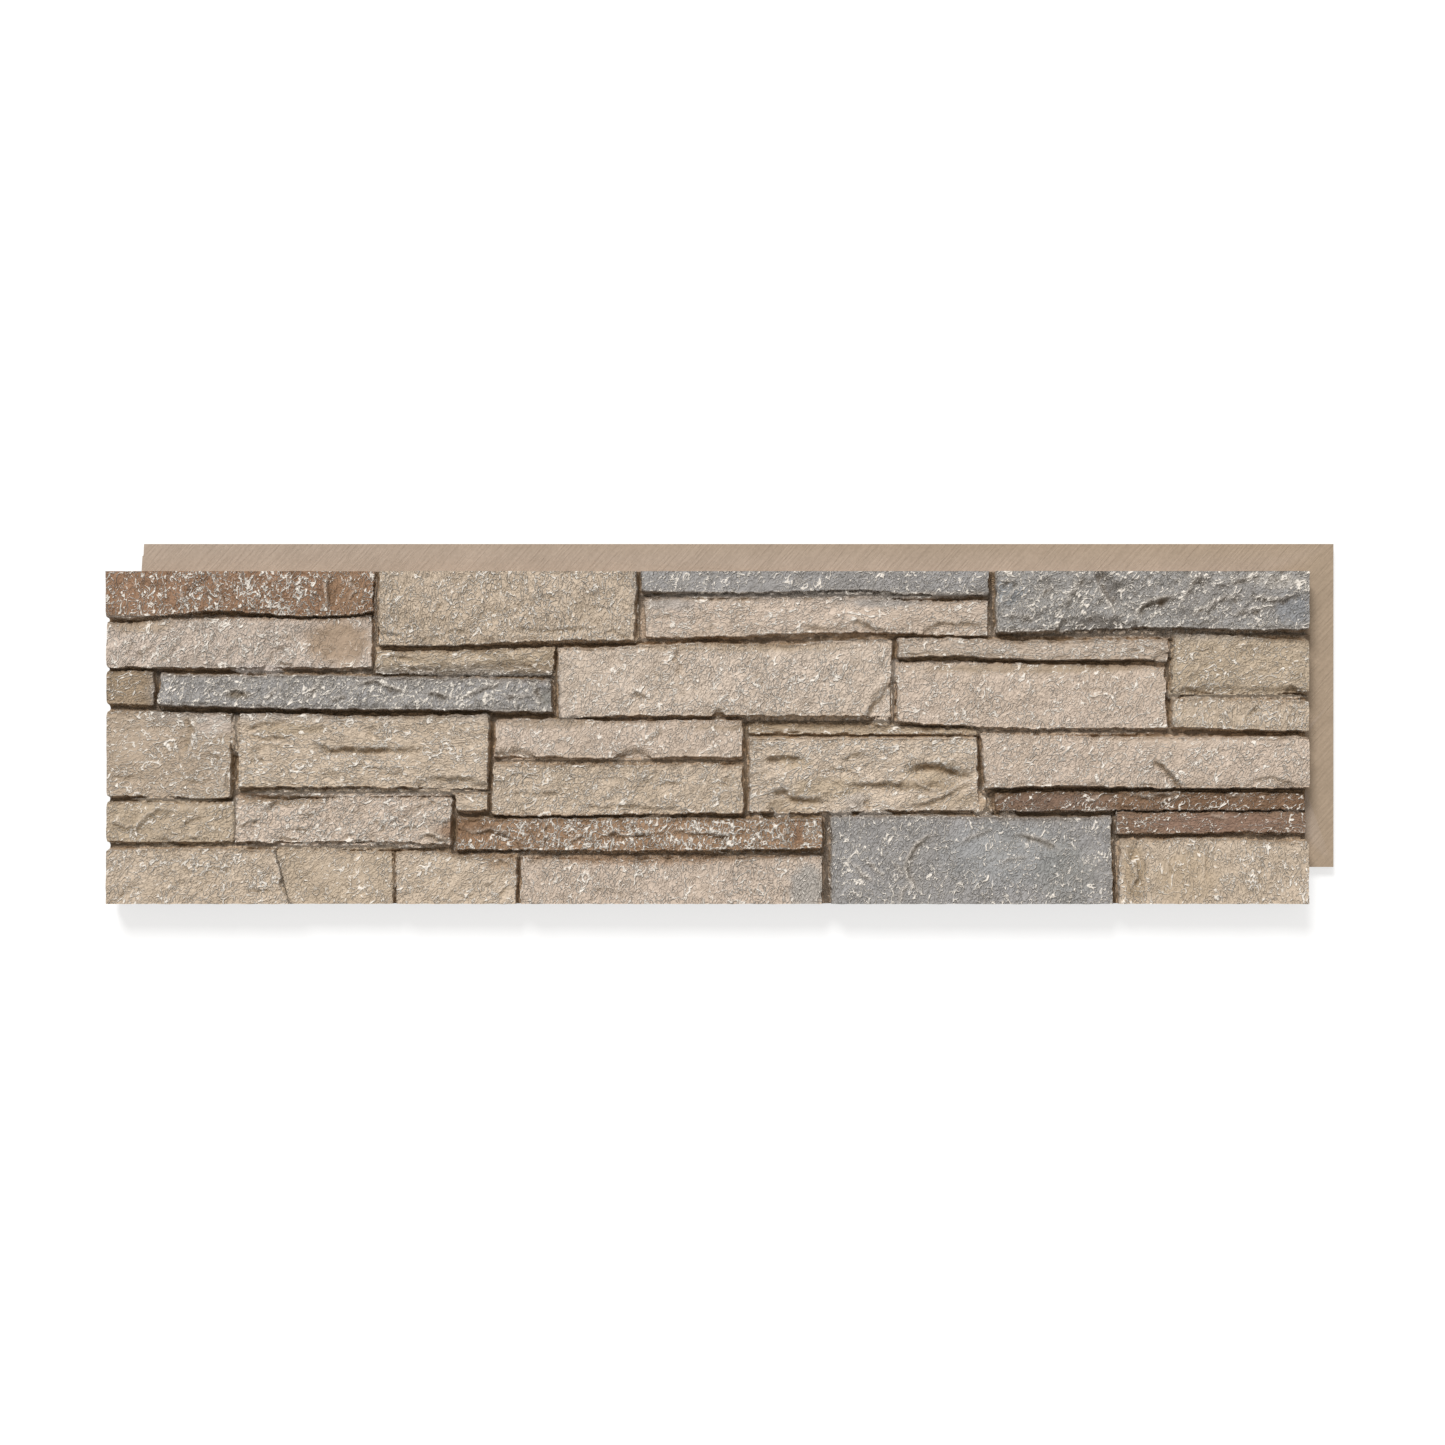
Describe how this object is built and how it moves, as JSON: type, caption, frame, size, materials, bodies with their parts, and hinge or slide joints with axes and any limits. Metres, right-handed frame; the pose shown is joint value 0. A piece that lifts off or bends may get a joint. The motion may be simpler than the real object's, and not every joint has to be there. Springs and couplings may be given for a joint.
{
  "type": "faux stone wall panel",
  "caption": "Long flat cladding panel with a relief of stacked ledge stones, flanged at the top and right and lapped at the left and bottom so that panels interlock.",
  "frame": {"origin": "middle of the panel's bounding box at its back face", "axes": "+X along the panel to its flanged end, +Y up the wall to the flanged top, +Z out of the wall; the panel lies on its back"},
  "size_m": [1.0928, 0.3206, 0.038],
  "materials": {
    "painted_foam": "matt painted, rough as split stone"
  },
  "bodies": {
    "root": {"stone_panel": "painted_foam"}
  },
  "joints": []
}
